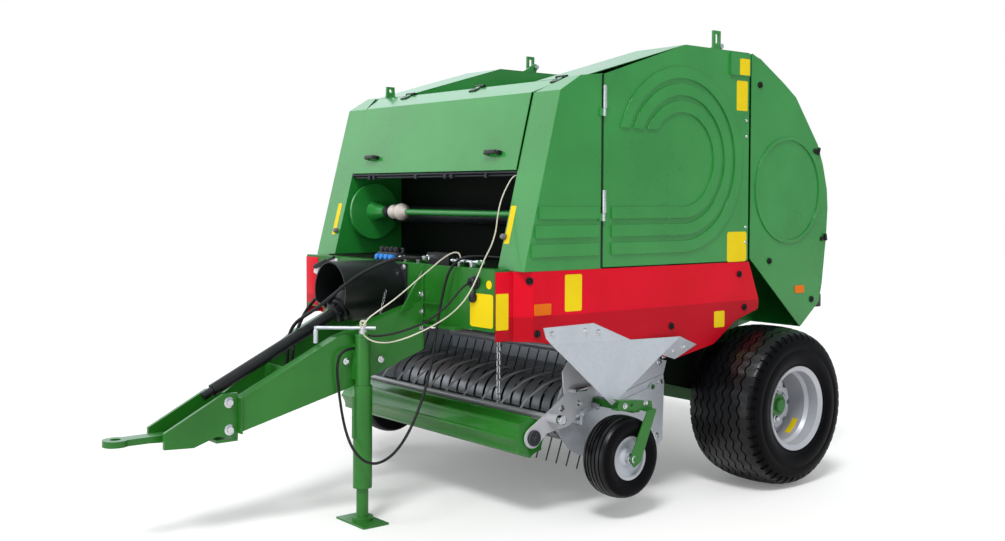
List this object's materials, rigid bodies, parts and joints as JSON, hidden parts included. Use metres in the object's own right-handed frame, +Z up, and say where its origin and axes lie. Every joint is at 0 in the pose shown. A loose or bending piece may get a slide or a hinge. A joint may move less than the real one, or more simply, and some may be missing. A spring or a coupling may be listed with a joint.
{
  "type": "round baler",
  "caption": "Towed round baler with tined pickup, gauge wheels, net compartment under a lifting hood, side doors, lifting tailgate, drawbar with parking jack.",
  "frame": {"origin": "middle of the bounding box, on the floor under the tyres and the jack foot", "axes": "+Z up, -Y towards the tow eye, +X the machine's left side; the wheels turn about X"},
  "size_m": [2.538, 4.183, 2.6283],
  "materials": {
    "green_paint": "gloss machinery paint",
    "red_paint": "gloss machinery paint",
    "dark_paint": "dark satin paint",
    "grey_paint": "satin paint",
    "silver_paint": "silver wheel paint",
    "galvanised": "galvanised sheet",
    "dark_steel": "dark rolled steel",
    "bright_steel": "hard chromed rod",
    "black_plastic": "moulded black plastic",
    "tyre_rubber": "tyre rubber",
    "cream_cord": "braided cream cord"
  },
  "bodies": {
    "chassis": {"chassis_frame": "green_paint", "drawbar_beams": "green_paint", "drawbar_head": "green_paint", "tow_eye": "green_paint", "jack_sleeve": "green_paint", "chamber_walls": "green_paint", "front_rollers": "dark_steel", "net_box": "dark_paint", "intake_wall": "dark_paint", "front_corners": "green_paint", "roof_panel": "green_paint", "lifting_eyes": "green_paint", "skirts": "red_paint", "deflectors": "galvanised", "gearbox": "dark_steel", "pto_shield": "black_plastic", "pto_shaft": "black_plastic", "valve_block": "black_plastic", "net_roller": "dark_steel", "cable_loop": "black_plastic", "cable_socket": "black_plastic", "rope": "cream_cord", "hose_over": "black_plastic", "hose_side": "black_plastic"},
    "jack_leg": {"jack_leg": "green_paint"},
    "hood": {"hood": "green_paint"},
    "door_left": {"door_left": "green_paint"},
    "door_right": {"door_right": "green_paint"},
    "tailgate": {"gate_shell": "green_paint", "gate_covers": "green_paint", "gate_rollers": "dark_steel"},
    "barrel_left": {"barrel_left": "grey_paint"},
    "barrel_right": {"barrel_right": "grey_paint"},
    "ram_left": {"ram_left": "bright_steel"},
    "ram_right": {"ram_right": "bright_steel"},
    "wheel_left": {"tyre_left": "tyre_rubber", "rim_left": "silver_paint"},
    "wheel_right": {"tyre_right": "tyre_rubber", "rim_right": "silver_paint"},
    "gauge_wheel_left": {"gauge_tyre_left": "tyre_rubber", "gauge_rim_left": "silver_paint"},
    "gauge_wheel_right": {"gauge_tyre_right": "tyre_rubber", "gauge_rim_right": "silver_paint"},
    "pickup": {"pickup_frame": "galvanised", "gauge_brackets": "green_paint", "stripper_bands": "galvanised"},
    "reel": {"tine_reel": "dark_steel"},
    "windguard": {"windguard": "galvanised", "support_chain": "bright_steel"},
    "guard_roller": {"guard_roller": "green_paint"},
    "net_spindle": {"net_spindle": "green_paint"}
  },
  "joints": [
    {"name": "wheel_left_spin", "type": "hinge", "parent": "chassis", "child": "wheel_left", "pos_m": [1.029, 1.4395, 0.455], "axis": [1, 0, 0], "continuous": true},
    {"name": "wheel_right_spin", "type": "hinge", "parent": "chassis", "child": "wheel_right", "pos_m": [-1.029, 1.4395, 0.455], "axis": [1, 0, 0], "continuous": true},
    {"name": "tailgate_lift", "type": "hinge", "parent": "chassis", "child": "tailgate", "pos_m": [0, 1.3275, 2.493], "axis": [1, 0, 0], "range_deg": [0, 75]},
    {"name": "barrel_left_swing", "type": "hinge", "parent": "chassis", "child": "barrel_left", "pos_m": [0.7, 1.1395, 1.25], "axis": [1, 0, 0], "range_deg": [-1, 8]},
    {"name": "barrel_right_swing", "type": "hinge", "parent": "chassis", "child": "barrel_right", "pos_m": [-0.7, 1.1395, 1.25], "axis": [1, 0, 0], "range_deg": [-1, 8]},
    {"name": "ram_left_slide", "type": "slide", "parent": "barrel_left", "child": "ram_left", "axis": [0, 0.4922, 0.8705], "range_m": [0, 0.5783]},
    {"name": "ram_right_slide", "type": "slide", "parent": "barrel_right", "child": "ram_right", "axis": [0, 0.4922, 0.8705], "range_m": [0, 0.5783]},
    {"name": "hood_lift", "type": "hinge", "parent": "chassis", "child": "hood", "pos_m": [0, -0.0045, 2.273], "axis": [-1, 0, 0], "range_deg": [0, 70]},
    {"name": "door_left_swing", "type": "hinge", "parent": "chassis", "child": "door_left", "pos_m": [0.996, 0.1355, 1.88], "axis": [0, 0, -1], "range_deg": [0, 100]},
    {"name": "door_right_swing", "type": "hinge", "parent": "chassis", "child": "door_right", "pos_m": [-0.996, 0.1355, 1.88], "axis": [0, 0, 1], "range_deg": [0, 100]},
    {"name": "pickup_lift", "type": "hinge", "parent": "chassis", "child": "pickup", "pos_m": [0, 0.6795, 0.6], "axis": [-1, 0, 0], "range_deg": [-14, 2]},
    {"name": "gauge_left_spin", "type": "hinge", "parent": "pickup", "child": "gauge_wheel_left", "pos_m": [1.064, 0.2025, 0.32], "axis": [1, 0, 0], "continuous": true},
    {"name": "gauge_right_spin", "type": "hinge", "parent": "pickup", "child": "gauge_wheel_right", "pos_m": [-1.064, 0.2025, 0.32], "axis": [1, 0, 0], "continuous": true},
    {"name": "reel_spin", "type": "hinge", "parent": "pickup", "child": "reel", "pos_m": [0, 0.2395, 0.49], "axis": [1, 0, 0], "continuous": true},
    {"name": "windguard_swing", "type": "hinge", "parent": "pickup", "child": "windguard", "pos_m": [0, 0.3095, 0.8], "axis": [-1, 0, 0], "range_deg": [0, 20]},
    {"name": "guard_roller_spin", "type": "hinge", "parent": "windguard", "child": "guard_roller", "pos_m": [0, -0.2085, 0.43], "axis": [1, 0, 0], "continuous": true},
    {"name": "net_spindle_spin", "type": "hinge", "parent": "chassis", "child": "net_spindle", "pos_m": [0, -0.1405, 1.56], "axis": [1, 0, 0], "continuous": true},
    {"name": "jack_slide", "type": "slide", "parent": "chassis", "child": "jack_leg", "axis": [0, 0, 1], "range_m": [0, 0.14]}
  ],
  "couplings": [
    {"joint": "barrel_left_swing", "follows": "tailgate_lift", "ratio": 0.07581},
    {"joint": "ram_left_slide", "follows": "tailgate_lift", "m_per_rad": 0.4403},
    {"joint": "barrel_right_swing", "follows": "tailgate_lift", "ratio": 0.07581},
    {"joint": "ram_right_slide", "follows": "tailgate_lift", "m_per_rad": 0.4403}
  ]
}
